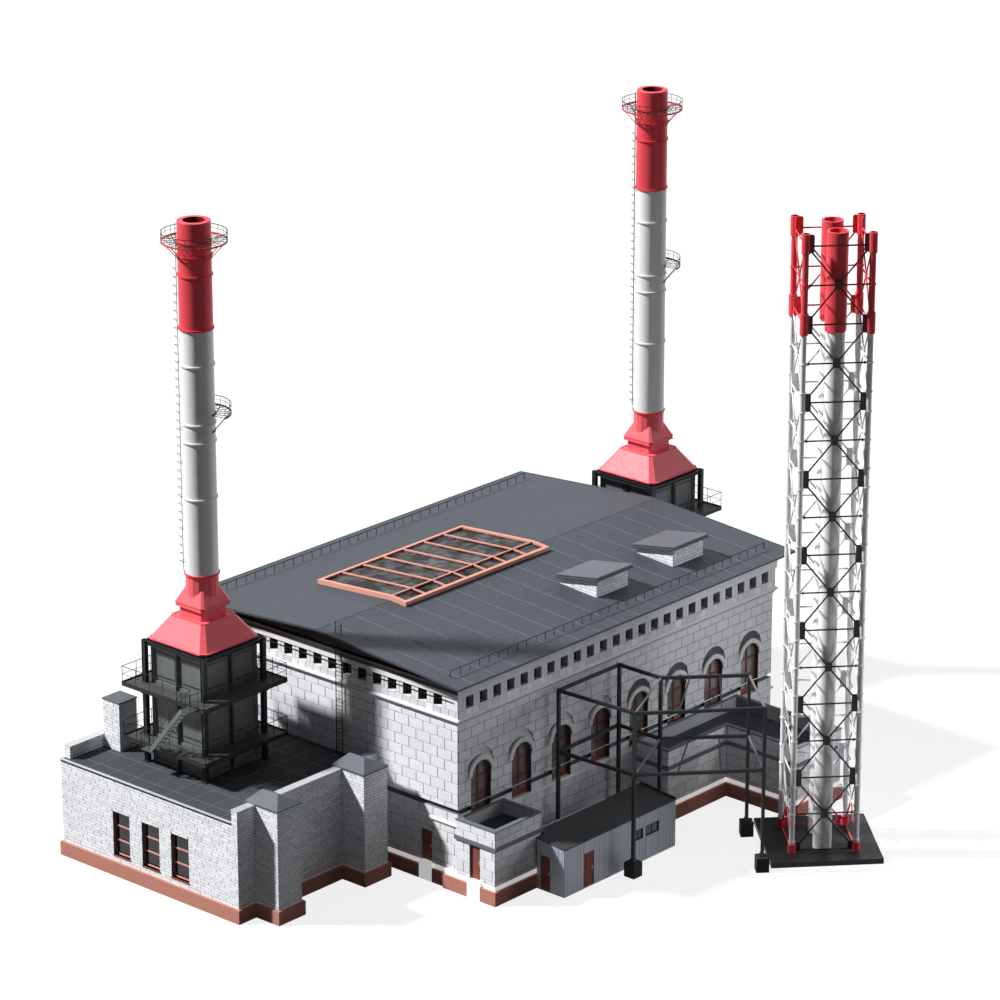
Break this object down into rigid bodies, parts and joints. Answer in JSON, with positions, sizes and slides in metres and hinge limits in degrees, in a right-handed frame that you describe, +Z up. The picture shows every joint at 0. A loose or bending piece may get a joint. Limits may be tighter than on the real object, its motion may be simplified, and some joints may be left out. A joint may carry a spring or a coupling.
{
  "type": "boiler house, scale model at 1:2",
  "caption": "Boiler house with an arcaded ashlar hall, low wings, brick annexes, railed boiler casings under tall chimneys, a pipe trestle and a lattice flue tower; outer doors swing",
  "frame": {"origin": "near outside corner of the hall's walls at ground level, on the underside of the plinth", "axes": "+X along the hall's arcaded front, +Y along its gable away from the front, +Z up"},
  "size_m": [26.695, 20.3532, 20.915],
  "materials": {
    "glass": "dark glazing",
    "terracotta": "matt facing",
    "concrete": "matt",
    "sheet_roof": "satin sheet",
    "felt_roof": "matt felt",
    "salmon_frame": "satin paint",
    "brick": "pale glaze-free brick",
    "ashlar": "matt ashlar",
    "cladding": "ribbed sheet",
    "red_paint": "satin paint",
    "white_paint": "satin paint",
    "casing": "satin paint",
    "silver_tube": "satin paint",
    "dark_steel": "satin paint",
    "brown_door": "satin paint"
  },
  "bodies": {
    "building": {"plinth": "terracotta", "ground_slab": "concrete", "hall_front_wall": "ashlar", "hall_back_wall": "ashlar", "hall_east_gable": "ashlar", "hall_west_gable": "ashlar", "hall_west_base_south": "ashlar", "hall_west_base_north": "ashlar", "hall_front_glass": "glass", "hall_back_glass": "glass", "hall_slot_glass": "glass", "hall_roof": "sheet_roof", "skylight_frame": "salmon_frame", "skylight_glass": "glass", "roof_vent_near": "brick", "roof_vent_far": "brick", "eave_guard_front": "dark_steel", "eave_guard_back": "dark_steel", "gable_ladder": "dark_steel", "porch_wall": "ashlar", "porch_jamb": "ashlar", "porch_roof": "ashlar", "wing_wall_west": "ashlar", "wing_wall_east": "ashlar", "wing_roof": "ashlar", "shed_floor": "concrete", "shed_wall_corner": "cladding", "shed_wall_long": "cladding", "shed_roof": "cladding", "shed_glass": "glass", "west_annex_walls": "brick", "west_annex_roof": "felt_roof", "west_annex_glass": "glass", "brick_stack": "brick", "east_annex_walls": "brick", "east_annex_roof": "felt_roof", "east_annex_glass": "glass", "west_casing": "casing", "west_casing_frame": "dark_steel", "west_hood": "red_paint", "west_chimney": "white_paint", "west_gallery": "dark_steel", "east_casing": "casing", "east_casing_frame": "dark_steel", "east_hood": "red_paint", "east_chimney": "white_paint", "east_gallery": "dark_steel", "trestle": "dark_steel", "tower_base": "dark_steel", "tower_frame_front": "silver_tube", "tower_frame_back": "silver_tube", "tower_bracing_right": "silver_tube", "tower_bracing_left": "silver_tube", "flue_front": "silver_tube", "flue_rear": "silver_tube"},
    "hall_side_door": {"hall_side_door": "brown_door"},
    "porch_door": {"porch_door": "brown_door"},
    "wing_door": {"wing_door": "brown_door"},
    "shed_front_door": {"shed_front_door": "brown_door"},
    "shed_end_door": {"shed_end_door": "brown_door"}
  },
  "joints": [
    {"name": "hall_side_door_hinge", "type": "hinge", "parent": "building", "child": "hall_side_door", "pos_m": [0.06, 1.529, 1.1], "axis": [0, 0, -1], "range_deg": [0, 90]},
    {"name": "porch_door_hinge", "type": "hinge", "parent": "building", "child": "porch_door", "pos_m": [-0.025, -0.576, 1.2], "axis": [0, 0, -1], "range_deg": [0, 90]},
    {"name": "wing_door_hinge", "type": "hinge", "parent": "building", "child": "wing_door", "pos_m": [12.056, -4.34, 1.2], "axis": [0, 0, -1], "range_deg": [0, 90]},
    {"name": "shed_front_door_hinge", "type": "hinge", "parent": "building", "child": "shed_front_door", "pos_m": [2.696, -2.8153, 0.6], "axis": [0, 0, -1], "range_deg": [0, 90]},
    {"name": "shed_end_door_hinge", "type": "hinge", "parent": "building", "child": "shed_end_door", "pos_m": [1.7947, -1.856, 0.6], "axis": [0, 0, -1], "range_deg": [0, 90]}
  ]
}
